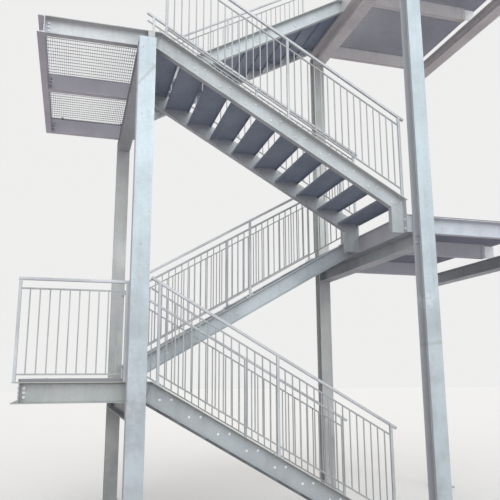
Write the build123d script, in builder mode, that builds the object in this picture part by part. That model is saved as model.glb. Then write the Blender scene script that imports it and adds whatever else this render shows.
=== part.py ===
"""Outdoor steel stair: four straight flights between four cantilevered landings on six columns.

X runs along the flights, Y runs away from the open front side and Z is up.
The origin is under the middle of the front left column's base plate.
"""
import os
from math import atan2, cos, sin, tan

from build123d import *

# Flights, in millimetres
going = 300
landing_rise = 1900
risers_per_flight = 11
first_flight_risers = 10
tread_length = 1200
tread_depth = 315
tread_plate = 4
tread_lip = 30
first_nose = 20
foot_set_in = 8
bend_from_edge = 68
lane_gap = 160

# Tread end plates
end_plate_thickness = 5
end_plate_length = 170
end_plate_height = 70
end_plate_from_nose = 18

# Channels of the stringers and of the landing frames
channel_height = 200
channel_flange = 75
channel_web = 8.5
channel_tip = 8.5
channel_root = 13.8
channel_root_bevel = 7.5

# Wide flange bars of the columns and of the cross beams
bar_depth = 171
bar_width = 180
bar_web = 6
bar_flange = 9.5
bar_root_bevel = 10

# Landings
left_landing_length = 1235
right_landing_length = 1943
grating_height = 30
grating_bar = 8
grating_gaps = 12
grating_panel_joint = 5
grating_on_rim = 15
right_grating_overhang = 200
left_joist_from_front = 1360
right_joist_from_front = 1200
cleat_length = 200
cleat_overhang = 150
cleat_height = 175
cleat_thickness = 10
cleat_hole_spacing = 82
cleat_hole_radius = 9
cleat_hole_from_end = 34
angle_leg = 70
angle_thickness = 7
angle_height = 130
fin_length = 150
fin_thickness = 8

# Columns
left_column_to_edge = 95
right_column_to_edge = 153
outer_bay = 1950
frame_clearance = 10
base_plate_side = 300
base_plate_thickness = 20
base_bolt_spacing = 220
base_bolt_hole_radius = 11
cap_plate_thickness = 15
beam_end_plate = 15
foot_plate_length = 260
foot_plate_width = 140
foot_plate_thickness = 15

# Railings
post_side = 40
rail_side = 16
baluster_side = 12
handrail_height = 1045
upper_rail_drop = 118
bottom_rail_height = 115
flight_baluster_pitch = 83
post_plate_length = 110
post_plate_width = 60
post_plate_thickness = 8
first_post = 130
last_post_from_foot = 26
handrail_overhang_top = 80
handrail_overhang_foot = 72
middle_post_flight_1 = 1395
middle_post_flight_3 = 1565
middle_post_even_flights = 1482
landing_rail_height = 1000
landing_upper_rail_drop = 102
landing_bottom_rail_height = 79
landing_baluster_pitch = 97
landing_post_from_column = 10

# Levels and places that follow from these sizes
riser = landing_rise / risers_per_flight
pitch_angle = atan2(riser, going)
half_channel = channel_height / 2
front_tips = bar_depth / 2 + frame_clearance
frame_depth = 2 * (2 * channel_flange + tread_length) + lane_gap
rear_tips = front_tips + frame_depth
rear_column_y = rear_tips + frame_clearance + bar_depth / 2
left_edge = left_column_to_edge
flight_run = first_nose + going * (risers_per_flight - 1) - foot_set_in
right_edge = left_edge + flight_run
right_column_x = right_edge + right_column_to_edge
outer_column_x = right_column_x + outer_bay


def walking_level(landing):
    """Height of a landing's walking surface, the ground being landing 0"""
    return first_flight_risers * riser + (landing - 1) * landing_rise


def rim_level(landing):
    """Top of a landing's channel frame"""
    return walking_level(landing) - grating_height


def channel_bar(start, along, flanges, length):
    """A straight channel from the middle of its web's back"""
    with BuildSketch(Plane(start, x_dir=flanges, z_dir=along)) as section:
        channel_section()
    extrude(section.sketch, amount=length)


def channel_section():
    """A channel's section with its back on the Y axis, its flanges towards +X, its roots plainly bevelled"""
    with BuildSketch(mode=Mode.PRIVATE) as section:
        with BuildLine():
            Polyline(
                (0, half_channel),
                (channel_flange, half_channel),
                (channel_flange, half_channel - channel_tip),
                (channel_web, half_channel - channel_root),
                (channel_web, channel_root - half_channel),
                (channel_flange, channel_tip - half_channel),
                (channel_flange, -half_channel),
                (0, -half_channel),
                close=True,
            )
        make_face()
        roots = section.vertices().filter_by_position(Axis.X, channel_web - 1, channel_web + 1)
        chamfer(roots, channel_root_bevel)
    add(section.sketch)


def wide_flange_bar(start, along, across, length):
    """A straight wide flange bar from the middle of its section, its flanges facing across"""
    with BuildSketch(Plane(start, x_dir=across, z_dir=along)) as section:
        inner = bar_depth / 2 - bar_flange
        with Locations((bar_depth / 2 - bar_flange / 2, 0), (bar_flange / 2 - bar_depth / 2, 0)):
            Rectangle(bar_flange, bar_width)
        Rectangle(2 * inner, bar_web)
        corners = [v for v in section.vertices() if abs(abs(v.X) - inner) < 1 and abs(v.Y) < bar_width / 4]
        chamfer(corners, bar_root_bevel)
    extrude(section.sketch, amount=length)


def save(piece, label):
    """Name a finished piece and write it"""
    piece.part.label = label
    export_step(piece.part, f"parts/{label}.step")


os.makedirs("parts", exist_ok=True)

# Columns, each with its base plate and its cap
column_places = {
    "column_front_left": (0, 0, 3),
    "column_rear_left": (0, rear_column_y, 3),
    "column_front_right": (right_column_x, 0, 4),
    "column_rear_right": (right_column_x, rear_column_y, 4),
    "column_front_outer": (outer_column_x, 0, 4),
    "column_rear_outer": (outer_column_x, rear_column_y, 4),
}
for label, (x, y, top_landing) in column_places.items():
    column_top = rim_level(top_landing) - channel_height
    with BuildPart() as column:
        with BuildSketch(Plane((x, y, 0))):
            Rectangle(base_plate_side, base_plate_side)
            with GridLocations(base_bolt_spacing, base_bolt_spacing, 2, 2):
                Circle(base_bolt_hole_radius, mode=Mode.SUBTRACT)
        extrude(amount=base_plate_thickness)
        shaft_length = column_top - base_plate_thickness
        wide_flange_bar((x, y, base_plate_thickness), (0, 0, 1), (0, 1, 0), shaft_length)
        with BuildSketch(Plane((x, y, column_top))):
            Rectangle(bar_width, bar_depth)
        extrude(amount=cap_plate_thickness)
    save(column, label)

# Cross beams between each front column and the rear one behind it
cross_beam_places = {
    "cross_beam_1": (0, 1),
    "cross_beam_3": (0, 3),
    "cross_beam_2_inner": (right_column_x, 2),
    "cross_beam_2_outer": (outer_column_x, 2),
    "cross_beam_4_inner": (right_column_x, 4),
    "cross_beam_4_outer": (outer_column_x, 4),
}
beam_start = bar_depth / 2
beam_length = rear_column_y - bar_depth
for label, (x, landing) in cross_beam_places.items():
    beam_middle = rim_level(landing) - channel_height - bar_depth / 2
    with BuildPart() as cross_beam:
        wide_flange_bar((x, beam_start, beam_middle), (0, 1, 0), (0, 0, 1), beam_length)
        for plate_start in (beam_start, beam_start + beam_length - beam_end_plate):
            with BuildSketch(Plane((x, plate_start, beam_middle), x_dir=(1, 0, 0), z_dir=(0, 1, 0))):
                Rectangle(bar_width, bar_depth)
            extrude(amount=beam_end_plate)
    save(cross_beam, label)


def landing_frame(landing, end_x, edge_x, joist_from_front, closed):
    """A landing's frame: an inner edge channel, front and rear beams, a joist and, if closed, an outer edge"""
    side = 1 if end_x > edge_x else -1
    middle = rim_level(landing) - half_channel
    beam_from = edge_x + side * channel_flange
    beam_to = end_x - side * channel_flange if closed else end_x
    span = abs(beam_to - beam_from)
    joist_y = front_tips + joist_from_front
    with BuildPart() as frame:
        channel_bar((edge_x, front_tips, middle), (0, 1, 0), (side, 0, 0), frame_depth)
        if closed:
            channel_bar((beam_to, front_tips, middle), (0, 1, 0), (side, 0, 0), frame_depth)
        front_back = front_tips + channel_flange
        rear_back = rear_tips - channel_flange
        for back, outward in ((front_back, -1), (joist_y, 1), (rear_back, 1)):
            channel_bar((beam_from, back, middle), (side, 0, 0), (0, outward, 0), span)
            edge_fin(edge_x, side, back, outward, middle)
            if closed:
                joint_angle(beam_to, side, back, outward, middle)
            else:
                beam_end_cleat(end_x, back if outward < 0 else back - cleat_thickness, middle)
    return frame


def edge_fin(edge_x, side, back, outward, middle):
    """A plate from the edge channel's web along the back of a beam's web"""
    start = edge_x + side * channel_web
    fin_middle = (start + side * fin_length / 2, back - outward * fin_thickness / 2, middle)
    with Locations(fin_middle):
        Box(fin_length, fin_thickness, angle_height)


def joint_angle(web_x, side, back, outward, middle):
    """An angle between the back of a beam's web and the outer edge channel's web"""
    along = web_x - side * angle_leg / 2
    with Locations((along, back - outward * angle_thickness / 2, middle)):
        Box(angle_leg, angle_thickness, angle_height)
    with Locations((web_x - side * angle_thickness / 2, back - outward * angle_leg / 2, middle)):
        Box(angle_thickness, angle_leg, angle_height)


def beam_end_cleat(end_x, y, middle):
    """A plate on a beam's web that runs on over the outer cross beam, with its two open holes"""
    cleat_middle = end_x + cleat_overhang - cleat_length / 2
    holes_middle = end_x + cleat_overhang - cleat_hole_from_end - cleat_hole_spacing / 2
    level = middle - half_channel + cleat_height / 2
    plane = Plane((cleat_middle, y, level), x_dir=(1, 0, 0), z_dir=(0, 1, 0))
    with BuildSketch(plane) as plate:
        Rectangle(cleat_length, cleat_height)
        with Locations((holes_middle - cleat_middle, 0)):
            with GridLocations(cleat_hole_spacing, 1, 2, 1):
                Circle(cleat_hole_radius, mode=Mode.SUBTRACT)
    extrude(plate.sketch, amount=cleat_thickness)


# Landing frames and the gratings on them
left_end = left_edge - left_landing_length
right_end = right_edge + right_landing_length
for landing in (1, 2, 3, 4):
    on_left = landing % 2 == 1
    end_x = left_end if on_left else right_end
    edge_x = left_edge if on_left else right_edge
    joist_from_front = left_joist_from_front if on_left else right_joist_from_front
    frame = landing_frame(landing, end_x, edge_x, joist_from_front, closed=on_left)
    save(frame, f"landing_{landing}_frame")
    outer_x = end_x + channel_flange - grating_on_rim if on_left else end_x + right_grating_overhang
    front_y = front_tips + channel_flange - grating_on_rim
    rear_y = rear_tips - channel_flange + grating_on_rim
    joint_y = front_tips + joist_from_front + channel_flange / 2
    grating_length = abs(edge_x - outer_x)
    with BuildPart() as grating:
        panel_ends = ((front_y, joint_y - grating_panel_joint / 2), (joint_y + grating_panel_joint / 2, rear_y))
        for panel_front, panel_rear in panel_ends:
            panel_middle = ((edge_x + outer_x) / 2, (panel_front + panel_rear) / 2, rim_level(landing))
            panel_width = panel_rear - panel_front
            gap_pitch = (grating_length - grating_bar) / grating_gaps
            with BuildSketch(Plane(panel_middle)):
                Rectangle(grating_length, panel_width)
                with GridLocations(gap_pitch, 1, grating_gaps, 1):
                    Rectangle(gap_pitch - grating_bar, panel_width - 2 * grating_bar, mode=Mode.SUBTRACT)
            extrude(amount=grating_height)
    save(grating, f"landing_{landing}_grating")


class Flight:
    """Places along one flight, measured along the run from its upper landing's edge"""

    def __init__(self, number):
        on_left = number % 2 == 1
        self.number = number
        self.risers = first_flight_risers if number == 1 else risers_per_flight
        self.upper_edge = left_edge if on_left else right_edge
        self.direction = 1 if on_left else -1
        self.rim = rim_level(number)
        self.run = flight_run - (risers_per_flight - self.risers) * going
        self.foot_level = foot_plate_thickness if number == 1 else rim_level(number - 1) - channel_height
        lane_start = front_tips + channel_flange
        if not on_left:
            lane_start = rear_tips - channel_flange - tread_length
        self.near_face = lane_start
        self.far_face = lane_start + tread_length

    def x(self, run):
        return self.upper_edge + self.direction * run

    def edge_line(self, run):
        """Top edge of the stringers, below the bend"""
        return self.rim - (run - bend_from_edge) * tan(pitch_angle)


def stringer(flight, back, outward):
    """A channel mitred at its bend and again above its upright foot"""
    axis_drop = half_channel / cos(pitch_angle)
    bend = bend_from_edge - half_channel * tan(pitch_angle / 2)
    foot = flight.run - half_channel
    points = [
        (flight.x(0), back, flight.rim - half_channel),
        (flight.x(bend), back, flight.rim - half_channel),
        (flight.x(foot), back, flight.edge_line(foot) - axis_drop),
        (flight.x(foot), back, flight.foot_level),
    ]
    with BuildPart() as bar:
        with BuildLine() as route:
            Polyline(*points)
        with BuildSketch(Plane(points[0], x_dir=(0, outward, 0), z_dir=(flight.direction, 0, 0))):
            channel_section()
        sweep(path=route.wire(), transition=Transition.RIGHT)
        if flight.number == 1:
            plate_middle = (flight.x(foot), back + outward * channel_flange / 2, 0)
            with BuildSketch(Plane(plate_middle)):
                Rectangle(foot_plate_length, foot_plate_width)
            extrude(amount=foot_plate_thickness)
    return bar


def treads(flight):
    """The folded plate treads of one flight, each with its two end plates"""
    steps = range(1, flight.risers)
    top = flight.rim + grating_height
    with BuildPart() as steps_part:
        with BuildSketch(Plane((0, flight.near_face, 0), x_dir=(1, 0, 0), z_dir=(0, 1, 0))):
            for step in steps:
                nose = first_nose + going * step
                with Locations((flight.x(nose - tread_depth / 2), -(top - step * riser - tread_lip / 2))):
                    Rectangle(tread_depth, tread_lip)
                inside = -(top - step * riser - tread_plate - tread_lip / 2)
                with Locations((flight.x(nose - tread_depth / 2), inside)):
                    Rectangle(tread_depth - 2 * tread_plate, tread_lip, mode=Mode.SUBTRACT)
        extrude(amount=tread_length)
        for face, away in ((flight.near_face, 1), (flight.far_face, -1)):
            with BuildSketch(Plane((0, face, 0), x_dir=(1, 0, 0), z_dir=(0, 1, 0))):
                for step in steps:
                    nose = first_nose + going * step
                    middle = nose - end_plate_from_nose - end_plate_length / 2
                    level = top - step * riser - end_plate_height / 2
                    with Locations((flight.x(middle), -level)):
                        Rectangle(end_plate_length, end_plate_height)
            extrude(amount=away * end_plate_thickness)
    return steps_part


def sloped_bar(flight, run_from, run_to, height, thickness):
    """Corners of a bar parallel to the stringer's edge, its top at a height over it, cut square"""
    slope = tan(pitch_angle)
    down = (sin(pitch_angle) * thickness, cos(pitch_angle) * thickness)
    top = [(run, flight.edge_line(run) + height) for run in (run_from, run_to)]
    bottom = [(run - down[0], level - down[1]) for run, level in reversed(top)]
    return [(flight.x(run), level) for run, level in top + bottom]


def flight_railing(flight, y, middle_post):
    """Posts, handrail, two thin rails and balusters over one stringer"""
    last_post = flight.run - last_post_from_foot
    posts = (first_post, middle_post, last_post)
    wall = Plane.XZ.offset(-y)
    base = flight.edge_line
    with BuildPart() as railing:
        with BuildSketch(wall):
            rail_from = first_post - handrail_overhang_top
            rail_to = last_post + handrail_overhang_foot
            with BuildLine():
                Polyline(*sloped_bar(flight, rail_from, rail_to, handrail_height, post_side), close=True)
            make_face()
            for post in posts:
                sides = (post - post_side / 2, post + post_side / 2)
                corners = [(side, base(side)) for side in sides]
                corners += [(side, base(side) + handrail_height - post_side / 2) for side in reversed(sides)]
                with BuildLine():
                    Polyline(*[(flight.x(run), level) for run, level in corners], close=True)
                make_face()
        extrude(amount=post_side / 2, both=True)
        with BuildSketch(wall):
            upper = handrail_height - upper_rail_drop
            for height, rail_start in ((upper, rail_from), (bottom_rail_height, first_post)):
                with BuildLine():
                    Polyline(*sloped_bar(flight, rail_start, last_post, height, rail_side), close=True)
                make_face()
        extrude(amount=rail_side / 2, both=True)
        with BuildSketch(wall):
            for start, end in zip(posts, posts[1:]):
                gaps = round((end - start) / flight_baluster_pitch)
                for place in range(1, gaps):
                    run = start + (end - start) * place / gaps
                    sides = (run - baluster_side / 2, run + baluster_side / 2)
                    low = bottom_rail_height - rail_side / 2
                    high = upper - rail_side / 2
                    corners = [(side, base(side) + low) for side in sides]
                    corners += [(side, base(side) + high) for side in reversed(sides)]
                    with BuildLine():
                        Polyline(*[(flight.x(r), level) for r, level in corners], close=True)
                    make_face()
        extrude(amount=baluster_side / 2, both=True)
        with BuildSketch(wall):
            for post in posts:
                half = post_plate_length / 2 * cos(pitch_angle)
                plate = sloped_bar(flight, post - half, post + half, 0, -post_plate_thickness)
                with BuildLine():
                    Polyline(*plate, close=True)
                make_face()
        extrude(amount=post_plate_width / 2, both=True)
    return railing


# Stringers, treads and railings of the flights
middle_posts = {1: middle_post_flight_1, 2: middle_post_even_flights, 3: middle_post_flight_3}
middle_posts[4] = middle_post_even_flights
railings = {1: ("near", "far"), 2: ("near", "far"), 3: ("near", "far"), 4: ("far",)}
for number in (1, 2, 3, 4):
    flight = Flight(number)
    save(stringer(flight, flight.near_face, -1), f"flight_{number}_near_stringer")
    save(stringer(flight, flight.far_face, 1), f"flight_{number}_far_stringer")
    save(treads(flight), f"flight_{number}_treads")
    for which in railings[number]:
        y = flight.near_face - channel_flange / 2 if which == "near" else flight.far_face + channel_flange / 2
        save(flight_railing(flight, y, middle_posts[number]), f"flight_{number}_{which}_railing")

# Railing along the front of landing 1, from its outer corner to the column
rim = rim_level(1)
rail_left = left_end
rail_right = -bar_width / 2 + landing_post_from_column
with BuildPart() as landing_1_railing:
    wall = Plane.XZ.offset(-(front_tips + channel_flange / 2))
    with BuildSketch(wall):
        with Locations(((rail_left + rail_right) / 2, rim + landing_rail_height - post_side / 2)):
            Rectangle(rail_right - rail_left, post_side)
        for x in (rail_left + post_side / 2, rail_right - post_side / 2):
            with Locations((x, rim + landing_rail_height / 2)):
                Rectangle(post_side, landing_rail_height)
    extrude(amount=post_side / 2, both=True)
    with BuildSketch(wall):
        upper = landing_rail_height - landing_upper_rail_drop
        for height in (upper, landing_bottom_rail_height):
            with Locations(((rail_left + rail_right) / 2, rim + height - rail_side / 2)):
                Rectangle(rail_right - rail_left - post_side, rail_side)
    extrude(amount=rail_side / 2, both=True)
    with BuildSketch(wall):
        gaps = round((rail_right - rail_left - post_side) / landing_baluster_pitch)
        for place in range(1, gaps):
            x = rail_left + post_side / 2 + (rail_right - rail_left - post_side) * place / gaps
            middle = rim + (upper + landing_bottom_rail_height - rail_side) / 2
            with Locations((x, middle)):
                Rectangle(baluster_side, upper - landing_bottom_rail_height)
    extrude(amount=baluster_side / 2, both=True)
save(landing_1_railing, "landing_1_railing")
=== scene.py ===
"""Looks of the outdoor steel stair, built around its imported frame"""
from math import atan2, cos, radians, sin, sqrt, tan

import bmesh
import bpy
from mathutils import Matrix, Vector


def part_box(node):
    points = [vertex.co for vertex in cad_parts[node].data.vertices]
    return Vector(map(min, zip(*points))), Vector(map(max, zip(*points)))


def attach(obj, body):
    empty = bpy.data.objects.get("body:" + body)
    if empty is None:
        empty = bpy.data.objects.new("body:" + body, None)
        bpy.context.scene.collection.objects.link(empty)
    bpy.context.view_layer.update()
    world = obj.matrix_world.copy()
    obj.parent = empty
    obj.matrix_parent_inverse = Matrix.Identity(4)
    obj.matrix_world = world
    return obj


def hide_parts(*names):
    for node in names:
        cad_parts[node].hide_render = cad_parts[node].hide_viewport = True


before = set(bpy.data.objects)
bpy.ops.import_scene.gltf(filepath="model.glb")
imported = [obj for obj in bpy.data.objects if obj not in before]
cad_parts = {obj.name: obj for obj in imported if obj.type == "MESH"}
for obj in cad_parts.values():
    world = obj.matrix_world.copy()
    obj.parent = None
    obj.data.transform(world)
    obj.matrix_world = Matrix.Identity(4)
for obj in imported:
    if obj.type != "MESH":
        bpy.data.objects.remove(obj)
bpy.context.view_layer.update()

# Sizes repeated from the part's source, in metres
going = 0.300
landing_rise = 1.900
risers_per_flight = 11
first_flight_risers = 10
riser = landing_rise / risers_per_flight
tread_length = 1.200
first_nose = 0.020
foot_set_in = 0.008
bend_from_edge = 0.068
end_plate_thickness = 0.005
channel_height = 0.200
channel_flange = 0.075
channel_web = 0.0085
flange_tip = 0.0085
grating_height = 0.030
bar_depth = 0.171
bar_flange = 0.0095
frame_clearance = 0.010
lane_gap = 0.160
left_edge = 0.095
right_column_to_edge = 0.153
outer_bay = 1.950
left_landing_length = 1.235
right_landing_length = 1.943
left_joist_from_front = 1.360
right_joist_from_front = 1.200
fin_thickness = 0.008
angle_thickness = 0.007
base_plate_thickness = 0.020
base_bolt_spacing = 0.220
foot_plate_thickness = 0.015
beam_end_plate = 0.015
bar_width = 0.180
rail_side = 0.016
baluster_side = 0.012
handrail_height = 1.045
upper_rail_height = 0.927
bottom_rail_height = 0.115
flight_baluster_pitch = 0.083
post_plate_length = 0.110
post_plate_width = 0.060
post_plate_thickness = 0.008
first_post = 0.130
last_post_from_foot = 0.026
handrail_over_top = 0.080
handrail_over_foot = 0.072
middle_posts = {1: 1.395, 2: 1.482, 3: 1.565, 4: 1.482}
railings = {1: ("near", "far"), 2: ("near", "far"), 3: ("near", "far"), 4: ("far",)}
landing_rail_height = 1.000
landing_upper_rail_height = 0.898
landing_bottom_rail_height = 0.079
landing_baluster_pitch = 0.097
landing_post_from_column = 0.010
landing_post_from_end = 0.020

# Places that follow from these sizes
slope = atan2(riser, going)
half_channel = channel_height / 2
front_tips = bar_depth / 2 + frame_clearance
frame_depth = 2 * (2 * channel_flange + tread_length) + lane_gap
rear_tips = front_tips + frame_depth
front_back = front_tips + channel_flange
rear_back = rear_tips - channel_flange
rear_column_y = rear_tips + frame_clearance + bar_depth / 2
flight_run = first_nose + going * (risers_per_flight - 1) - foot_set_in
right_edge = left_edge + flight_run
right_column_x = right_edge + right_column_to_edge
outer_column_x = right_column_x + outer_bay
left_end = left_edge - left_landing_length
right_end = right_edge + right_landing_length


def rim_level(landing):
    """Top of a landing's channel frame"""
    return first_flight_risers * riser + (landing - 1) * landing_rise - grating_height


class Flight:
    """Places along one flight, measured along the run from its upper landing's edge"""

    fall = riser / going

    def __init__(self, number):
        on_left = number % 2 == 1
        self.number = number
        self.risers = first_flight_risers if number == 1 else risers_per_flight
        self.upper_edge = left_edge if on_left else right_edge
        self.direction = 1 if on_left else -1
        self.rim = rim_level(number)
        self.run = flight_run - (risers_per_flight - self.risers) * going
        self.foot_level = foot_plate_thickness if number == 1 else rim_level(number - 1) - channel_height
        self.near_face = front_back if on_left else rear_back - tread_length
        self.far_face = self.near_face + tread_length
        self.sides = {"near": (self.near_face, -1), "far": (self.far_face, 1)}
        self.posts = (first_post, middle_posts[number], self.run - last_post_from_foot)

    def x(self, run):
        return self.upper_edge + self.direction * run

    def edge_line(self, run):
        """Top edge of the stringers, below the bend"""
        return self.rim - (run - bend_from_edge) * self.fall

    def railing_y(self, side):
        face, outward = self.sides[side]
        return face + outward * channel_flange / 2

    def uphill(self):
        """Direction up the slope"""
        return Vector((-self.direction * cos(slope), 0, sin(slope)))

    def off_slope(self):
        """Direction square to the stringer's top edge"""
        return Vector((self.direction * sin(slope), 0, cos(slope)))


class LandingEdge:
    """The front edge of landing 1, measured from its outer corner to the railing's end at the column"""

    direction = 1
    fall = 0
    length = landing_post_from_column - bar_width / 2 - left_end
    posts = (landing_post_from_end, length - landing_post_from_end)

    def x(self, run):
        return left_end + run

    def edge_line(self, run):
        return rim_level(1)


flights = [Flight(number) for number in (1, 2, 3, 4)]
landings = (1, 2, 3, 4)


# Finishes
bump_strength = 0.6


class Value:
    """A socket whose sums and products are written as expressions"""

    def __init__(self, finish, socket):
        self.finish, self.socket = finish, socket

    def __add__(self, other):
        return self.finish.maths("ADD", self, other)

    __radd__ = __add__

    def __sub__(self, other):
        return self.finish.maths("SUBTRACT", self, other)

    def __rsub__(self, other):
        return self.finish.maths("SUBTRACT", other, self)

    def __mul__(self, other):
        return self.finish.maths("MULTIPLY", self, other)

    __rmul__ = __mul__

    def __truediv__(self, other):
        return self.finish.maths("DIVIDE", self, other)


class Finish:
    """A node material. Its nodes are added by type, settings and socket values"""

    def __init__(self, name):
        self.material = bpy.data.materials.new(name)
        self.material.use_nodes = True
        self.tree = self.material.node_tree
        self.shader = self.tree.nodes["Principled BSDF"]
        self.place = self.add("ShaderNodeTexCoord", output="Object")

    def connect(self, socket, value):
        if isinstance(value, Value):
            self.tree.links.new(value.socket, socket)
        else:
            socket.default_value = value

    def add(self, kind, settings={}, sockets={}, output=0):
        node = self.tree.nodes.new(kind)
        for name, value in settings.items():
            setattr(node, name, value)
        for name, value in sockets.items():
            self.connect(node.inputs[name], value)
        return None if output is None else Value(self, node.outputs[output])

    def maths(self, operation, *values):
        return self.add("ShaderNodeMath", {"operation": operation}, dict(enumerate(values)))

    def along(self, axis):
        """Place along X, Y or Z, in metres"""
        return self.add("ShaderNodeSeparateXYZ", {}, {"Vector": self.place}, output=axis)

    def outward(self, axis):
        """Share of the surface's outward direction that points along X, Y or Z"""
        direction = self.add("ShaderNodeTexCoord", output="Normal")
        return self.add("ShaderNodeSeparateXYZ", {}, {"Vector": direction}, output=axis)

    def noise(self, scale, detail=3.0, roughness=0.5, stretch=(1, 1, 1)):
        """Soft noise, its scale given as marks to a metre"""
        place = self.place
        if stretch != (1, 1, 1):
            place = self.add("ShaderNodeMapping", {}, {"Vector": place, "Scale": stretch})
        sockets = {"Vector": place, "Scale": scale, "Detail": detail, "Roughness": roughness}
        return self.add("ShaderNodeTexNoise", {}, sockets)

    def crystals(self, size):
        """A plain number for each zinc crystal"""
        sockets = {"Vector": self.place, "Scale": 1 / size}
        colour = self.add("ShaderNodeTexVoronoi", {}, sockets, output="Color")
        return self.add("ShaderNodeSeparateColor", {}, {"Color": colour})

    def between(self, value, low, high):
        """0 where the value is under low, 1 where it is over high"""
        return self.add("ShaderNodeMapRange", {"interpolation_type": "SMOOTHSTEP"},
                        {"Value": value, "From Min": low, "From Max": high})

    def patches(self, scale, low, high, detail=3.0, roughness=0.5, stretch=(1, 1, 1)):
        """Patches that begin where soft noise passes low and are full where it passes high"""
        return self.between(self.noise(scale, detail, roughness, stretch), low, high)

    def blend(self, share, first, second):
        return self.add("ShaderNodeMix", {"data_type": "RGBA"}, {0: share, 6: first, 7: second}, output=2)

    def surface(self, colour, roughness, metallic, height=None, depth=0.001):
        self.connect(self.shader.inputs["Base Color"], colour)
        self.connect(self.shader.inputs["Roughness"], roughness)
        self.connect(self.shader.inputs["Metallic"], metallic)
        if height is not None:
            sockets = {"Height": height, "Distance": depth, "Strength": bump_strength}
            self.connect(self.shader.inputs["Normal"], self.add("ShaderNodeBump", {}, sockets))
        return self.material


def tone(red, green, blue):
    return (red, green, blue, 1.0)


zinc_light = tone(0.56, 0.60, 0.615)
zinc_dark = tone(0.41, 0.445, 0.46)
column_light = tone(0.65, 0.765, 0.82)
column_dark = tone(0.49, 0.555, 0.59)
# Rear columns painted lighter, as light in the shade the stair casts on them
rear_column_light = tone(0.68, 0.705, 0.69)
rear_column_dark = tone(0.50, 0.52, 0.51)
# Painted shade on the columns behind their front faces
flange_recess_shade = tone(0.55, 0.55, 0.575)
speck = tone(0.28, 0.26, 0.24)
# Tone of the painted handrail shadow on the left column and of the darker band on the right one
dark_band = tone(0.42, 0.45, 0.43)
white_rust = tone(0.84, 0.88, 0.90)
zinc_stain = tone(0.34, 0.31, 0.25)
low_dirt_and_shade = tone(0.30, 0.32, 0.33)
new_zinc = tone(0.92, 0.94, 0.97)
dust_and_shade = tone(0.52, 0.51, 0.44)

# Tones of the zinc, light and dark, on each flight's stringers and each landing's frame, each painted lighter
# or darker as light and shade
flight_lit_and_shaded_tones = {
    1: (tone(0.51, 0.55, 0.57), tone(0.37, 0.40, 0.42)),
    2: (tone(0.62, 0.68, 0.71), tone(0.46, 0.51, 0.54)),
    3: (zinc_light, zinc_dark),
    4: (tone(0.60, 0.65, 0.67), tone(0.45, 0.49, 0.51)),
}
frame_lit_and_shaded_tones = {
    1: (tone(0.49, 0.52, 0.51), tone(0.36, 0.385, 0.38)),
    2: (tone(0.66, 0.70, 0.755), tone(0.50, 0.54, 0.595)),
    3: (tone(0.60, 0.63, 0.645), tone(0.44, 0.465, 0.48)),
    # Landing 4 painted lighter and warmer, as light from below
    4: (tone(0.80, 0.79, 0.785), tone(0.64, 0.63, 0.63)),
}
# Violet tones on the inner members of landings 2 and 3: painted coloured light in their shade
inner_shade_tones = {1: None, 2: tone(0.50, 0.49, 0.54), 3: tone(0.70, 0.665, 0.745), 4: None}

# Darkening low down, partly dirt thrown up by rain and partly painted shade, fades out between these heights
# over the ground
dull_below = 0.3
full_tone_above = 4.2

zinc_metallic = 0.22
zinc_depth = 0.0006


def zinc(finish, light=zinc_light, dark=zinc_dark, stain=zinc_stain, spangle=0.016, stain_share=0.35,
         splashed=0.42, rusted=0.0, specked=0.0):
    """Colour, roughness and height of hot dip zinc: crystals, dull clouds, run marks and light stains.

    Spangle is the size of the crystals. The other numbers are shares: stains, low darkening (partly dirt,
    partly painted shade) and white rust that thin out with height, and dark specks.
    """
    crystal = finish.crystals(spangle)
    clouds = finish.patches(1.6, 0.36, 0.68, detail=5.0, roughness=0.62)
    runs = finish.patches(1.0, 0.44, 0.70, detail=4.0, roughness=0.55, stretch=(16, 16, 0.7))
    spots = finish.patches(9.0, 0.56, 0.74, detail=4.0, roughness=0.6)
    shade = clouds * 0.42 + runs * 0.26 + crystal * 0.18
    colour = finish.blend(shade, light, dark)
    colour = finish.blend(spots * runs * stain_share, colour, stain)
    splash = 1 - finish.between(finish.along("Z"), dull_below, full_tone_above)
    if rusted:
        blotches = finish.patches(5.5, 0.545, 0.60, detail=6.0, roughness=0.68, stretch=(1, 1, 0.6))
        colour = finish.blend(blotches * splash * rusted, colour, white_rust)
    if specked:
        specks = finish.patches(30.0, 0.66, 0.72, roughness=0.6, stretch=(1, 1, 0.5))
        colour = finish.blend(specks * specked, colour, speck)
    # Darker low down: partly dirt, partly painted shade
    if splashed:
        colour = finish.blend(splash * splashed, colour, finish.blend(clouds, dark, low_dirt_and_shade))
    roughness = 0.44 + clouds * 0.16 + crystal * 0.10
    height = crystal * 0.15 + finish.noise(45.0, 2.0) * 0.85
    return colour, roughness, height


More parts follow.
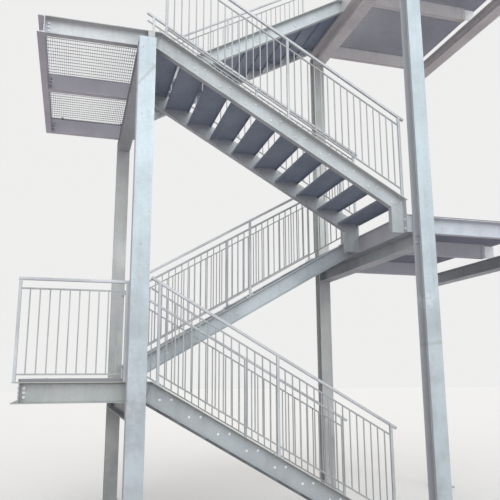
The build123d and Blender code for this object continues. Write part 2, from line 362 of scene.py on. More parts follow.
def galvanised(name, new_from=None, below_edge=None, dust_and_shade_depth=0.035, inner=None, marks=(), **tones):
    """Weathered hot dip zinc, with newer and brighter zinc from a place along X on where one is given.

    Where below_edge measures how far a spot lies under the upper edge of a channel, dust lies and shade is
    painted down to that depth. A frame's inner members may have their own tone, painted as shade. A mark is a
    measure of its strength and a colour.
    """
    finish = Finish(name)
    colour, roughness, height = zinc(finish, **tones)
    metallic = zinc_metallic
    if below_edge:
        # Under a channel's upper edge: partly dust, partly painted shade of the top flange
        ragged = below_edge(finish) + finish.noise(7.0, 3.0) * 0.030 - 0.015
        dust_and_shade_share = 1 - finish.between(ragged, 0.004, dust_and_shade_depth)
        colour = finish.blend(dust_and_shade_share * 0.30, colour, dust_and_shade)
    # Inner members painted violet as shade
    if inner:
        end_web = left_end + channel_flange
        from_front = finish.between(finish.along("Y"), front_back + 0.05, front_back + 0.40)
        from_end = 1 - finish.between(finish.along("X"), end_web, end_web + 0.02)
        colour = finish.blend(finish.maths("MAXIMUM", from_front, from_end) * 0.6, colour, inner)
    for mark, mark_colour in marks:
        colour = finish.blend(mark(finish), colour, mark_colour)
    if new_from:
        fresh = finish.between(finish.along("X"), new_from, new_from + 0.001)
        colour = finish.blend(fresh * (0.75 + finish.crystals(0.012) * 0.25), colour, new_zinc)
        metallic = zinc_metallic + fresh * 0.25
    return finish.surface(colour, roughness, metallic, height, zinc_depth)


def chequered(finish, pitch=0.030):
    """Height of raised lozenges that lie across each other on the treads' upper faces"""
    across = finish.along("X") / pitch
    along = finish.along("Y") / pitch
    ridges = []
    for first, second in ((across, along), (along, across)):
        row = finish.maths("FLOOR", first)
        offset = finish.maths("FRACT", row * 0.5 + second * 0.5)
        width = finish.maths("ABSOLUTE", finish.maths("FRACT", first) - 0.5)
        length = finish.maths("ABSOLUTE", offset - 0.5)
        ridges.append(1 - finish.between(width * 3.2 + length * 2.6, 0.55, 0.80))
    return finish.maths("MAXIMUM", *ridges)


def tread_plate(name):
    """Folded plate: chequered above, painted dark and bluish below as shade, with ordinary zinc on the end
    plates
    """
    finish = Finish(name)
    # Dark bluish tones: painted shade on the undersides and sides of the treads
    colour, roughness, height = zinc(finish, tone(0.34, 0.40, 0.49), tone(0.23, 0.28, 0.36),
                                     tone(0.22, 0.20, 0.19))
    upward = finish.outward("Z")
    upper = finish.between(upward, 0.6, 0.8)
    ridges = chequered(finish)
    worn = finish.blend(ridges, tone(0.40, 0.42, 0.43), tone(0.58, 0.61, 0.63))
    colour = finish.blend(upper, colour, worn)
    plate_share = 0
    for flight in flights:
        for face, outward in flight.sides.values():
            inner = face - outward * (end_plate_thickness + 0.001)
            offset = finish.maths("ABSOLUTE", finish.along("Y") - (face + inner) / 2)
            plate_share = plate_share + (1 - finish.between(offset, 0.0032, 0.0036))
    level_share = finish.between(finish.maths("ABSOLUTE", upward), 0.3, 0.5)
    plate_share = finish.maths("MINIMUM", plate_share, 1 - level_share)
    colour = finish.blend(plate_share, colour, tone(0.50, 0.54, 0.56))
    return finish.surface(colour, roughness, 0.15, height * 0.3 + ridges * upper * 3.0, 0.0010)


# Measures of where dust and painted shade lie, and how strong the marks on gratings and columns are
# Height of the painted handrail shadow on the front left column
handrail_shadow_level = 4.875
band_level = 2.097
scrape_level = 2.590
scrape_from_middle = -0.025


def shaded_front_and_back_faces(finish):
    """Faces that look to the front or the back, painted dark as shade"""
    return finish.between(finish.maths("ABSOLUTE", finish.outward("Y")), 0.6, 0.8) * 0.8


def unshaded_grating_top(finish):
    """The upper half of the gratings, in the colour of the frames, above the violet painted shade of the rest
    """
    storey = finish.maths("FRACT", (finish.along("Z") - rim_level(1)) / landing_rise)
    return finish.between(storey * landing_rise, 0.012, 0.022) * 0.85


def under_slope(flight):
    """Measure of the depth under the upper edge of a flight's stringers"""
    def measure(finish):
        run = (finish.along("X") - flight.upper_edge) * flight.direction
        edge = flight.rim - (run - bend_from_edge) * tan(slope)
        return (edge - finish.along("Z")) * cos(slope)
    return measure


def under_rim(landing):
    """Measure of the depth under the upper edge of a landing's frame"""
    def measure(finish):
        return rim_level(landing) - finish.along("Z")
    return measure


def stripe(finish, middle, rise, width, reach):
    """A soft stripe over a column's front, through a place along X and Z, rising by a share of its length"""
    across = finish.along("X") - middle[0]
    drop = finish.along("Z") - middle[1] - across * rise
    ragged = finish.maths("ABSOLUTE", drop) + finish.noise(30.0, 2.0) * width - width / 2
    within = 1 - finish.between(finish.maths("ABSOLUTE", across), reach, reach + 0.01)
    return (1 - finish.between(ragged, width * 0.4, width)) * within


def left_column_handrail_shadow(finish):
    """Painted shadow of a handrail across the front left column, under the upper landing"""
    return stripe(finish, (0, handrail_shadow_level), 1.32, 0.034, 0.095) * 0.5


def right_column_band(finish):
    """A soft darker band across the front right column"""
    return stripe(finish, (right_column_x, band_level), 0.15, 0.024, 0.10) * 0.5


def right_column_scrape(finish):
    """White scrape on the front right column"""
    across = (finish.along("X") - (right_column_x + scrape_from_middle)) * 1.6
    up = finish.along("Z") - scrape_level
    near = 1 - finish.between(across * across + up * up, 0.002, 0.014)
    return near * finish.patches(14.0, 0.42, 0.60, detail=4.0, roughness=0.6) * 0.45


def painted_shade_behind_face(finish):
    """The columns behind their front faces, painted darker and greyer as shade"""
    face = -bar_depth / 2
    return finish.between(finish.along("Y"), face + 0.0025, face + 0.0065) * 0.7


# The finish of each kind of piece
steel_finish = galvanised("galvanised_steel")
# Column marks: painted shade behind the front faces, a painted handrail shadow, a darker band and a white
# scrape
column_marks = ((painted_shade_behind_face, flange_recess_shade), (left_column_handrail_shadow, dark_band), (right_column_band, dark_band),
                (right_column_scrape, white_rust))
column_finish = galvanised("column_steel", light=column_light, dark=column_dark, splashed=0.85, rusted=0.75,
                           specked=0.32, marks=column_marks)
rear_column_finish = galvanised("rear_column_steel", light=rear_column_light, dark=rear_column_dark,
                                splashed=0.75, specked=0.3)
stringer_finishes = {}
for flight in flights:
    light, dark = flight_lit_and_shaded_tones[flight.number]
    stringer_finishes[flight.number] = galvanised(f"stringer_{flight.number}_steel", dust_and_shade_depth=0.050,
                                                  below_edge=under_slope(flight), light=light, dark=dark)
frame_finishes = {}
for landing, (light, dark) in frame_lit_and_shaded_tones.items():
    new_from = right_end if landing % 2 == 0 else None
    frame_finishes[landing] = galvanised(f"frame_{landing}_steel", new_from, under_rim(landing),
                                         inner=inner_shade_tones[landing], light=light, dark=dark)

# The upper cross beams take landing 4's tones, painted lighter and warmer as light from below
light, dark = frame_lit_and_shaded_tones[4]
upper_beam_finish = galvanised("upper_beam_steel", light=light, dark=dark)
railing_finish = galvanised("railing_steel", light=tone(0.66, 0.69, 0.71), dark=tone(0.47, 0.50, 0.52),
                            stain=tone(0.36, 0.34, 0.30), spangle=0.010, stain_share=0.25)
# Balusters and thin rails painted darker than the tubes, as shade
shaded_bar_finish = galvanised("railing_bar_steel", light=tone(0.50, 0.52, 0.53), dark=tone(0.33, 0.345, 0.35),
                        stain=tone(0.33, 0.29, 0.23), spangle=0.010, stain_share=0.35)
tread_finish = tread_plate("tread_steel")
grating_marks = ((unshaded_grating_top, tone(0.50, 0.53, 0.545)), (shaded_front_and_back_faces, tone(0.22, 0.215, 0.235)))
# Violet and dark grating tones: painted shade
grating_finish = galvanised("grating_steel", light=tone(0.44, 0.45, 0.53), dark=tone(0.30, 0.31, 0.385),
                            stain=tone(0.25, 0.22, 0.19), spangle=0.008, marks=grating_marks)
# Painted highlight: near white zinc on the heads of the first flight's tread bolts
highlit_bolt_finish = galvanised("highlit_zinc", light=tone(0.97, 0.98, 0.99), dark=tone(0.86, 0.88, 0.90),
                           stain=tone(0.50, 0.48, 0.42), spangle=0.004, stain_share=0.10, splashed=0)
bolt_finish = galvanised("bolt_zinc", light=tone(0.80, 0.83, 0.86), dark=tone(0.62, 0.65, 0.67),
                         stain=tone(0.42, 0.39, 0.33), spangle=0.004, stain_share=0.25, splashed=0)
# Painted shade: darker zinc on the nuts and on the heads at the cross beams
shaded_bolt_finish = galvanised("nut_zinc", light=tone(0.60, 0.64, 0.66), dark=tone(0.43, 0.46, 0.48),
                         stain=tone(0.36, 0.33, 0.27), spangle=0.004, stain_share=0.35, splashed=0)
weld_finish = galvanised("weld_seam", light=tone(0.60, 0.63, 0.65), dark=tone(0.36, 0.38, 0.40),
                         stain=tone(0.30, 0.27, 0.22), spangle=0.003, stain_share=0.45)

for name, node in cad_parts.items():
    finish = steel_finish
    if name.endswith("_railing"):
        finish = railing_finish
    elif name.endswith("_treads"):
        finish = tread_finish
    elif name.endswith("_grating"):
        finish = grating_finish
    elif name.startswith("cross_beam_4"):
        finish = upper_beam_finish
    elif name.startswith("column_rear"):
        finish = rear_column_finish
    elif name.startswith("column_"):
        finish = column_finish
    elif name.endswith("_stringer"):
        finish = stringer_finishes[int(name.split("_")[1])]
    elif name.endswith("_frame"):
        finish = frame_finishes[int(name.split("_")[1])]
    for slot in range(len(node.data.materials)):
        node.data.materials[slot] = finish


# Ways of making pieces. An edge broken by more than rounded_from is rounded
rounded_from = 0.002
plate_corner = 0.001
smooth_under = radians(32)


def begin():
    """Nothing selected, so that an operator reaches only what is added next"""
    bpy.ops.object.select_all(action="DESELECT")


def settle(piece):
    """The piece's place goes into its mesh"""
    piece.data.transform(piece.matrix_world)
    piece.matrix_world = Matrix.Identity(4)


def shape(piece, kind, test, operator, **settings):
    """Run an edit mode operator on the faces or edges that pass the test"""
    bpy.context.view_layer.objects.active = piece
    bpy.ops.object.mode_set(mode="EDIT")
    bpy.ops.mesh.select_mode(type="FACE" if kind == "faces" else "EDGE")
    bpy.ops.mesh.select_all(action="DESELECT")
    mesh = bmesh.from_edit_mesh(piece.data)
    for item in getattr(mesh, kind):
        if test(item):
            item.select_set(True)
    bmesh.update_edit_mesh(piece.data)
    operator(**settings)
    bpy.ops.object.mode_set(mode="OBJECT")


def runs_along(axis):
    """Test for edges along one axis"""
    def test(edge):
        direction = (edge.verts[1].co - edge.verts[0].co).normalized()
        return abs(direction[axis]) > 0.99
    return test


def on_top(height):
    """Test for edges that lie at a height"""
    def test(edge):
        return all(abs(corner.co.z - height) < 1e-5 for corner in edge.verts)
    return test


def flat_bar(size, middle, broken):
    """A bar along its longest side, its long edges broken, or rounded where that is wide"""
    begin()
    bpy.ops.mesh.primitive_cube_add(size=1)
    piece = bpy.context.object
    piece.data.transform(Matrix.Translation(middle) @ Matrix.Diagonal((*size, 1)))
    longest = size.index(max(size))
    shape(piece, "edges", runs_along(longest), bpy.ops.mesh.bevel, offset=broken,
          segments=3 if broken > rounded_from else 1, affect="EDGES")
    return piece


def repeated(piece, count, step):
    """The piece copied along a step and kept as one mesh"""
    array = piece.modifiers.new("repeat", "ARRAY")
    array.count = count
    array.use_relative_offset = False
    array.use_constant_offset = True
    array.constant_offset_displace = step
    bpy.context.view_layer.objects.active = piece
    bpy.ops.object.modifier_apply(modifier="repeat")
    return piece


def joined(pieces):
    begin()
    for piece in pieces:
        piece.select_set(True)
    bpy.context.view_layer.objects.active = pieces[0]
    bpy.ops.object.join()
    return pieces[0]


def finished(piece, name, finish, replaced=(), smooth=True):
    """Name, finish and body of a piece whose place is already in its mesh"""
    piece.name = name
    piece.data.name = name
    piece.data.materials.clear()
    piece.data.materials.append(finish)
    if smooth:
        begin()
        piece.select_set(True)
        bpy.context.view_layer.objects.active = piece
        bpy.ops.object.shade_smooth_by_angle(angle=smooth_under)
    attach(piece, "root")
    if replaced:
        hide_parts(*replaced)
    return piece


def facing(place, direction):
    """Matrix that seats a model on a face at a place, its top pointing in a direction"""
    turn = Vector(direction).to_track_quat("Z", "Y").to_matrix().to_4x4()
    return Matrix.Translation(place) @ turn


def seated(model, seats):
    """A copy of the model, with its own mesh, on every seat"""
    copies = []
    for seat in seats:
        copy = model.copy()
        copy.data = model.data.copy()
        copy.data.transform(seat)
        bpy.context.scene.collection.objects.link(copy)
        copies.append(copy)
    return copies


# Railings of square tube, with thin rails and balusters between the posts
tube_side = 0.030
tube_corner = 0.004
bar_corner = 0.0015


def rail(line, y, start, end, top, side, corner):
    """A square bar parallel to the edge that carries the railing, its top at a height over that edge"""
    ends = [Vector((line.x(run), y, line.edge_line(run) + top)) for run in (start, end)]
    piece = flat_bar(((ends[1] - ends[0]).length, side, side), (0, 0, -side / 2), corner)
    turn = (ends[1] - ends[0]).to_track_quat("X", "Z").to_matrix().to_4x4()
    piece.data.transform(Matrix.Translation((ends[0] + ends[1]) / 2) @ turn)
    return piece


def upright_bar(line, y, run, low, high, side, corner):
    """An upright square bar between two heights over the edge, its ends cut parallel to that edge"""
    piece = flat_bar((side, side, high - low), (0, 0, (low + high) / 2), corner)
    lean = Matrix.Identity(4)
    lean[2][0] = -line.direction * line.fall
    piece.data.transform(Matrix.Translation((line.x(run), y, line.edge_line(run))) @ lean)
    return piece


def railing(line, y, handrail, upper_rail, bottom_rail, pitch, foot=0):
    """Tubes and thin bars of a railing over one edge. A rail is given by its start, end and height"""
    tubes = [rail(line, y, *handrail, tube_side, tube_corner)]
    underside = handrail[2] - tube_side / cos(atan2(line.fall, 1))
    tubes += [upright_bar(line, y, run, foot, underside, tube_side, tube_corner) for run in line.posts]
    bars = [rail(line, y, *place, rail_side, bar_corner) for place in (upper_rail, bottom_rail)]
    for start, end in zip(line.posts, line.posts[1:]):
        gaps = round((end - start) / pitch)
        step = (end - start) / gaps
        piece = upright_bar(line, y, start + step, bottom_rail[2] - rail_side / 2,
                            upper_rail[2] - rail_side / 2, baluster_side, bar_corner)
        bars.append(repeated(piece, gaps - 1, (line.direction * step, 0, -line.fall * step)))
    return tubes, bars


def finished_railing(node, tubes, bars):
    """Two pieces in place of a railing's node"""
    finished(joined(tubes), f"{node}_tubes", railing_finish, [node])
    finished(joined(bars), f"{node}_bars", shaded_bar_finish)


post_foot = post_plate_thickness / cos(slope)
for flight in flights:
    top, foot = flight.posts[0], flight.posts[-1]
    handrail = (top - handrail_over_top, foot + handrail_over_foot, handrail_height)
    upper_rail = (top - handrail_over_top, foot, upper_rail_height)
    bottom_rail = (top, foot, bottom_rail_height)
    for side in railings[flight.number]:
        y = flight.railing_y(side)
        tubes, bars = railing(flight, y, handrail, upper_rail, bottom_rail, flight_baluster_pitch, post_foot)
        for run in flight.posts:
            plate = flat_bar((post_plate_length, post_plate_width, post_plate_thickness),
                             (0, 0, post_plate_thickness / 2), plate_corner)
            seat = Vector((flight.x(run), y, flight.edge_line(run)))
            turn = flight.uphill().to_track_quat("X", "Z").to_matrix().to_4x4()
            plate.data.transform(Matrix.Translation(seat) @ turn)
            tubes.append(plate)
        finished_railing(f"flight_{flight.number}_{side}_railing", tubes, bars)
landing_edge = LandingEdge()
handrail = (0, landing_edge.length, landing_rail_height)
upper_rail = (*landing_edge.posts, landing_upper_rail_height)
bottom_rail = (*landing_edge.posts, landing_bottom_rail_height)
tubes, bars = railing(landing_edge, front_tips + channel_flange / 2, handrail, upper_rail, bottom_rail,
                      landing_baluster_pitch)
finished_railing("landing_1_railing", tubes, bars)

# Plates that close the ends of each landing's inner edge channel
edge_plate_thickness = 0.006
edge_plate_inset = 0.001
for landing in landings:
    on_left = landing % 2 == 1
    side = -1 if on_left else 1
    edge_x = left_edge if on_left else right_edge
    width = channel_flange - channel_web
    middle_x = edge_x + side * (channel_web + width / 2)
    middle_z = rim_level(landing) - half_channel
    inset = edge_plate_inset + edge_plate_thickness / 2
    size = (width, edge_plate_thickness, channel_height - 2 * flange_tip)
    plates = [flat_bar(size, (middle_x, y, middle_z), plate_corner)
              for y in (front_tips + inset, rear_tips - inset)]
    finished(joined(plates), f"landing_{landing}_edge_plates", frame_finishes[landing])


# Bolts, modelled once for each size. These are shares of the thread's width
head_height = 0.64
nut_height = 0.85
washer_height = 0.18
washer_corner = 0.04
thread_corner = 0.10

# These are shares of the width across flats
washer_radius = 0.66
hexagon_corner = 0.09

washer_sides = 16
thread_sides = 12


def hexagon(across, height, base):
    """A hexagon whose upper corners are turned off"""
    begin()
    bpy.ops.mesh.primitive_cylinder_add(vertices=6, radius=across / sqrt(3), depth=height,
                                        location=(0, 0, base + height / 2))
    piece = bpy.context.object
    settle(piece)
    shape(piece, "edges", on_top(base + height), bpy.ops.mesh.bevel, offset=across * hexagon_corner,
          segments=1, affect="EDGES")
    return piece


def disc(radius, height, base, sides, broken):
    """A washer or the end of a thread, its upper edge broken"""
    begin()
    bpy.ops.mesh.primitive_cylinder_add(vertices=sides, radius=radius, depth=height,
                                        location=(0, 0, base + height / 2))
    piece = bpy.context.object
    settle(piece)
    shape(piece, "edges", on_top(base + height), bpy.ops.mesh.bevel, offset=broken, segments=1,
          affect="EDGES")
    return piece


def fastened(label, head, heads, nut, nuts, head_finish=bolt_finish, nut_finish=shaded_bolt_finish):
    """All heads of a kind of bolt as one piece, and all its nuts as another"""
    finished(joined(seated(head, heads)), f"{label}_bolts", head_finish)
    finished(joined(seated(nut, nuts)), f"{label}_nuts", nut_finish)


def washer(thread, across):
    return disc(across * washer_radius, thread * washer_height, 0, washer_sides, thread * washer_corner)


def bolt_head(thread, across):
    head = hexagon(across, thread * head_height, thread * washer_height)
    return joined([washer(thread, across), head])


def bolt_nut(thread, across, thread_end):
    """Washer, nut and the end of the thread"""
    nut = hexagon(across, thread * nut_height, thread * washer_height)
    stub = disc(thread / 2, thread_end, thread, thread_sides, thread * thread_corner)
    return joined([washer(thread, across), nut, stub])


bolt_16 = bolt_head(0.016, 0.024)
nut_16 = bolt_nut(0.016, 0.024, 0.009)
bolt_12 = bolt_head(0.012, 0.019)
nut_12 = bolt_nut(0.012, 0.019, 0.008)
bolt_10 = bolt_head(0.010, 0.017)
nut_10 = bolt_nut(0.010, 0.017, 0.006)
bolt_8 = bolt_head(0.008, 0.013)
anchor_20 = bolt_nut(0.020, 0.030, 0.032)
anchor_12 = bolt_nut(0.012, 0.019, 0.022)

# Pairs of bolts through each stringer and the end plate of each tread
tread_bolts_from_nose = (0.043, 0.162)
tread_bolt_below_top = 0.040
for flight in flights:
    heads, nuts = [], []
    for step in range(1, flight.risers):
        nose = first_nose + going * step
        level = flight.rim + grating_height - riser * step - tread_bolt_below_top
        for face, outward in flight.sides.values():
            for back in tread_bolts_from_nose:
                x = flight.x(nose - back)
                heads.append(facing((x, face + outward * channel_web, level), (0, outward, 0)))
                nuts.append(facing((x, face - outward * end_plate_thickness, level), (0, -outward, 0)))
    # The first flight's heads carry a painted highlight
    head_finish = highlit_bolt_finish if flight.number == 1 else bolt_finish
    fastened(f"flight_{flight.number}_tread", bolt_12, heads, nut_12, nuts, head_finish)

# Bolts of the plates under the railing posts, left out where they would miss the stringer
post_bolt_from_middle = 0.040
post_bolt_from_foot = 0.015
for flight in flights:
    heads, nuts = [], []
    for side in railings[flight.number]:
        y = flight.railing_y(side)
        for post in flight.posts:
            edge = Vector((flight.x(post), y, flight.edge_line(post)))
            for along in (post_bolt_from_middle, -post_bolt_from_middle):
                spot = edge + flight.uphill() * along
                if (flight.x(flight.run) - spot.x) * flight.direction < post_bolt_from_foot:
                    continue
                heads.append(facing(spot + flight.off_slope() * post_plate_thickness, flight.off_slope()))
                nuts.append(facing(spot - flight.off_slope() * flange_tip, -flight.off_slope()))
    fastened(f"flight_{flight.number}_post", bolt_10, heads, nut_10, nuts)

# Bolts between each flight's upright feet and the edge of the landing below
foot_bolt_levels = (0.045, 0.155)
foot_bolt_from_face = 0.047
for flight in flights[1:]:
    heads, nuts = [], []
    edge_x = flight.x(flight.run)
    for face, outward in flight.sides.values():
        for height in foot_bolt_levels:
            y = face + outward * foot_bolt_from_face
            level = flight.foot_level + height
            head_x = edge_x - flight.direction * flange_tip
            nut_x = edge_x + flight.direction * channel_web
            heads.append(facing((head_x, y, level), (-flight.direction, 0, 0)))
            nuts.append(facing((nut_x, y, level), (flight.direction, 0, 0)))
    fastened(f"flight_{flight.number}_foot", bolt_16, heads, nut_16, nuts)

# Bolts of the landing frames: fins at the inner edge, angles at the outer one, seats on the cross beams
bolt_rows = (-0.042, 0.0, 0.042)
fin_bolt_from_end = 0.042
angle_bolt_from_corner = 0.037
seat_bolt_from_web = 0.040
seat_bolt_from_column = 0.050
for landing in landings:
    on_left = landing % 2 == 1
    side = -1 if on_left else 1
    edge_x = left_edge if on_left else right_edge
    column_x = 0 if on_left else right_column_x
    middle = rim_level(landing) - half_channel
    joist_y = front_tips + (left_joist_from_front if on_left else right_joist_from_front)
    heads, nuts = [], []
    for back, outward in ((front_back, -1), (joist_y, 1), (rear_back, 1)):
        open_face = back + outward * channel_web
        x = edge_x + side * (channel_flange + fin_bolt_from_end)
        for row in bolt_rows:
            heads.append(facing((x, open_face, middle + row), (0, outward, 0)))
            nuts.append(facing((x, back - outward * fin_thickness, middle + row), (0, -outward, 0)))
        seat_x = column_x + side * seat_bolt_from_column
        seat_y = open_face + outward * seat_bolt_from_web
        heads.append(facing((seat_x, seat_y, middle - half_channel + flange_tip), (0, 0, 1)))
        nuts.append(facing((seat_x, seat_y, middle - half_channel - bar_flange), (0, 0, -1)))
        if on_left:
            web_x = left_end + channel_flange
            for row in bolt_rows:
                level = middle + row
                x = web_x + angle_bolt_from_corner
                heads.append(facing((x, open_face, level), (0, outward, 0)))
                nuts.append(facing((x, back - outward * angle_thickness, level), (0, -outward, 0)))
                y = back - outward * angle_bolt_from_corner
                heads.append(facing((web_x - channel_web, y, level), (-1, 0, 0)))
                nuts.append(facing((web_x + angle_thickness, y, level), (1, 0, 0)))
    fastened(f"landing_{landing}_frame", bolt_16, heads, nut_16, nuts, nut_finish=bolt_finish)

# Bolts through the end plates of the cross beams and the flanges of the columns
cross_beams = {"1": (0, 1), "3": (0, 3), "2_inner": (right_column_x, 2), "2_outer": (outer_column_x, 2),
               "4_inner": (right_column_x, 4), "4_outer": (outer_column_x, 4)}
end_bolt_across = 0.055
end_bolt_up = 0.045
for label, (x, landing) in cross_beams.items():
    middle = rim_level(landing) - channel_height - bar_depth / 2
    heads, nuts = [], []
    for column_y, inward in ((0, 1), (rear_column_y, -1)):
        plate_face = column_y + inward * (bar_depth / 2 + beam_end_plate)
        flange_face = column_y + inward * (bar_depth / 2 - bar_flange)
        for across in (-end_bolt_across, end_bolt_across):
            for up in (-end_bolt_up, end_bolt_up):
                heads.append(facing((x + across, plate_face, middle + up), (0, inward, 0)))
                nuts.append(facing((x + across, flange_face, middle + up), (0, -inward, 0)))
    fastened(f"cross_beam_{label}", bolt_16, heads, nut_16, nuts, head_finish=shaded_bolt_finish)

# Anchors of the base plates and of the first flight's foot plates
columns = {"front_left": (0, 0), "rear_left": (0, rear_column_y), "front_right": (right_column_x, 0),
           "rear_right": (right_column_x, rear_column_y), "front_outer": (outer_column_x, 0),
           "rear_outer": (outer_column_x, rear_column_y)}
half_spacing = base_bolt_spacing / 2
for label, (x, y) in columns.items():
    seats = [facing((x + across, y + along, base_plate_thickness), (0, 0, 1))
             for across in (-half_spacing, half_spacing) for along in (-half_spacing, half_spacing)]
    finished(joined(seated(anchor_20, seats)), f"column_{label}_anchors", bolt_finish)
foot_anchor_from_middle = 0.115
flight = flights[0]
foot_x = flight.x(flight.run - half_channel)
seats = [facing((foot_x + across, face + outward * channel_flange / 2, foot_plate_thickness), (0, 0, 1))
         for face, outward in flight.sides.values()
         for across in (-foot_anchor_from_middle, foot_anchor_from_middle)]
finished(joined(seated(anchor_12, seats)), "flight_1_foot_anchors", bolt_finish)

# Gratings: bearing bars across, rods pressed through them, a flat bar all round and saddle clips on the rims
bearing_pitch = 0.025
bearing_thickness = 0.003
bearing_height = grating_height - 0.001
bearing_corner = 0.0007
rod_pitch = 0.076
rod_size = 0.007
rod_corner = rod_size * 0.28
rod_below_top = rod_size * 0.7
border = 0.005
panel_joint = 0.005
clip_size = (0.034, 0.026, 0.003)
clip_from_end = 0.160
clip_from_edge = 0.016
for landing in landings:
    low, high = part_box(f"landing_{landing}_grating")
    length = high.x - low.x
    middle_x, middle_z = (low.x + high.x) / 2, (low.z + high.z) / 2
    joist_from_front = left_joist_from_front if landing % 2 == 1 else right_joist_from_front
    joint_y = front_tips + joist_from_front + channel_flange / 2
    parts, clips = [], []
    for panel_from, panel_to in ((low.y, joint_y - panel_joint / 2), (joint_y + panel_joint / 2, high.y)):
        depth, centre = panel_to - panel_from, (panel_from + panel_to) / 2
        bearers = int((length - 2 * border) / bearing_pitch)
        first = middle_x - (bearers - 1) * bearing_pitch / 2
        piece = flat_bar((bearing_thickness, depth - border, bearing_height), (first, centre, middle_z),
                         bearing_corner)
        parts.append(repeated(piece, bearers, (bearing_pitch, 0, 0)))
        rods = int((depth - rod_pitch / 2) / rod_pitch)
        first = centre - (rods - 1) * rod_pitch / 2
        piece = flat_bar((length - border, rod_size, rod_size), (middle_x, first, high.z - rod_below_top),
                         rod_corner)
        parts.append(repeated(piece, rods, (0, rod_pitch, 0)))
        for y in (panel_from + border / 2, panel_to - border / 2):
            parts.append(flat_bar((length, border, grating_height), (middle_x, y, middle_z), plate_corner))
        for x in (low.x + border / 2, high.x - border / 2):
            parts.append(flat_bar((border, depth, grating_height), (x, centre, middle_z), plate_corner))
        y = low.y + clip_from_edge if panel_from == low.y else high.y - clip_from_edge
        for x in (low.x + clip_from_end, high.x - clip_from_end):
            clips.append(flat_bar(clip_size, (x, y, high.z + clip_size[2] / 2), plate_corner))
            clips += seated(bolt_8, [facing((x, y, high.z + clip_size[2]), (0, 0, 1))])
    finished(joined(parts), f"landing_{landing}_bar_grating", grating_finish,
             [f"landing_{landing}_grating"], smooth=False)
    finished(joined(clips), f"landing_{landing}_grating_clips", bolt_finish)

# Weld seams, each a row of overlapping ripples
ripple_pitch = 0.005
ripple_radius = 0.0045
begin()
bpy.ops.mesh.primitive_uv_sphere_add(segments=8, ring_count=5, radius=ripple_radius)
ripple = bpy.context.object
shape(ripple, "faces", lambda face: True, bpy.ops.transform.resize, value=(1, 1, 0.8))


def seam(start, end):
    """Seats of the ripples from one end of a seam to the other"""
    start, end = Vector(start), Vector(end)
    count = max(2, round((end - start).length / ripple_pitch) + 1)
    return [facing(start.lerp(end, place / (count - 1)), end - start) for place in range(count)]


# Seams at the bend and the foot of every stringer, and along the first flight's foot plates
seam_inset = 0.012
seam_over_plate = 0.002
drop = channel_height / cos(slope)
bend_low = bend_from_edge - channel_height * tan(slope / 2)
for flight in flights:
    seats = []
    for face, outward in flight.sides.values():
        y = face + outward * channel_web
        seats += seam((flight.x(bend_from_edge), y, flight.rim - seam_inset),
                      (flight.x(bend_low), y, flight.rim - channel_height + seam_inset))
        outer_run = flight.run - seam_inset
        inner_run = flight.run - channel_height
        seats += seam((flight.x(outer_run), y, flight.edge_line(flight.run) - seam_inset),
                      (flight.x(inner_run + seam_inset), y, flight.edge_line(inner_run) - drop + seam_inset))
        if flight.number == 1:
            on_plate = flight.foot_level + seam_over_plate
            seats += seam((flight.x(inner_run + seam_inset), y, on_plate), (flight.x(outer_run), y, on_plate))
    finished(joined(seated(ripple, seats)), f"flight_{flight.number}_weld_seams", weld_finish)

# Small welds round the feet of the posts
half = tube_side / 2
for flight in flights:
    seats = []
    uphill = flight.uphill() * half / cos(slope)
    aside = Vector((0, half, 0))
    for side in railings[flight.number]:
        for run in flight.posts:
            foot = Vector((flight.x(run), flight.railing_y(side), flight.edge_line(run)))
            foot += flight.off_slope() * post_plate_thickness
            corners = [foot + uphill + aside, foot + uphill - aside,
                       foot - uphill - aside, foot - uphill + aside]
            for start, end in zip(corners, corners[1:] + corners[:1]):
                seats += seam(start, end)
    finished(joined(seated(ripple, seats)), f"flight_{flight.number}_post_welds", weld_finish)

for model in (bolt_16, nut_16, bolt_12, nut_12, bolt_10, nut_10, bolt_8, anchor_20, anchor_12, ripple):
    bpy.data.objects.remove(model)


# Floor, light and camera

pale = tone(0.86, 0.86, 0.855)
floor_in_light = tone(0.31, 0.255, 0.30)


def sees_backdrop(add):
    """1 for rays of the camera, of gloss and through glass, 0 for rays that carry light to the object"""
    rays = [add("ShaderNodeLightPath", output=name)
            for name in ("Is Camera Ray", "Is Glossy Ray", "Is Transmission Ray")]
    return rays[0] + rays[1] + rays[2]


def pale_floor():
    begin()
    bpy.ops.mesh.primitive_plane_add(size=160, location=(2, 1.5, -0.002))
    floor = bpy.context.object
    floor.name = "studio_floor"
    finish = Finish("floor_paint")
    seen = finish.between(sees_backdrop(finish.add), 0.4, 0.6)
    finish.surface(finish.blend(seen, floor_in_light, pale), 0.9, 0.0)
    floor.data.materials.append(finish.material)


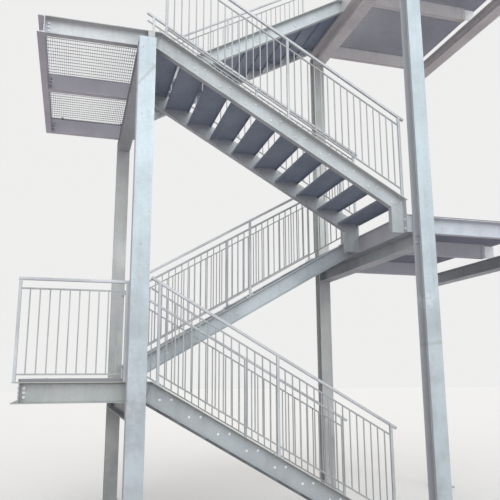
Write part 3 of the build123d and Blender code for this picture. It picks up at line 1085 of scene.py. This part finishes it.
class World(Finish):
    """The world's nodes, added in the same way as a finish's"""

    def __init__(self, name):
        self.world = bpy.data.worlds.new(name)
        self.world.use_nodes = True
        self.tree = self.world.node_tree
        self.tree.nodes.clear()


def studio_world(sky_colour, sky_strength):
    world = World("studio")
    sky = world.add("ShaderNodeBackground", {}, {"Color": sky_colour, "Strength": sky_strength})
    backdrop = world.add("ShaderNodeBackground", {}, {"Color": pale, "Strength": 1.0})
    seen = world.between(sees_backdrop(world.add), 0.4, 0.6)
    mixed = world.add("ShaderNodeMixShader", {}, {0: seen, 1: sky, 2: backdrop})
    world.add("ShaderNodeOutputWorld", {}, {"Surface": mixed}, output=None)
    bpy.context.scene.world = world.world


def lamp(name, energy, towards, width, colour):
    """A far soft lamp that shines in one direction"""
    data = bpy.data.lights.new(name, "SUN")
    data.energy = energy
    data.angle = radians(width)
    data.color = colour
    light = bpy.data.objects.new(name, data)
    light.rotation_euler = Vector(towards).to_track_quat("-Z", "Y").to_euler()
    bpy.context.scene.collection.objects.link(light)


pale_floor()
studio_world(tone(1.0, 0.96, 0.92), 0.64)
lamp("key_light", 1.75, (0.12, 0.84, -0.50), 70, (0.93, 0.98, 1.0))
lamp("back_light", 0.6, (-0.3, -0.85, -0.45), 40, (0.96, 0.98, 1.0))

# The camera stands in front of the stair, left of its middle, and looks up at it
eye = Vector((-0.622, -6.1455, 1.7403))
yaw = radians(16.09)
pitch = radians(11.62)
roll = radians(-0.23)
forward = Vector((sin(yaw) * cos(pitch), cos(yaw) * cos(pitch), sin(pitch)))
level = Vector((cos(yaw), -sin(yaw), 0))
steep = level.cross(forward)
right = cos(roll) * level + sin(roll) * steep
above = cos(roll) * steep - sin(roll) * level
camera_data = bpy.data.cameras.new("camera")
camera_data.sensor_width = 36
camera_data.sensor_fit = "HORIZONTAL"
camera_data.lens = 44.31
camera_data.clip_end = 400
camera = bpy.data.objects.new("camera", camera_data)
bpy.context.scene.collection.objects.link(camera)
turn = Matrix((right, above, -forward)).transposed()
camera.matrix_world = Matrix.Translation(eye) @ turn.to_4x4()
bpy.context.scene.camera = camera
bpy.context.scene.view_settings.view_transform = "Standard"
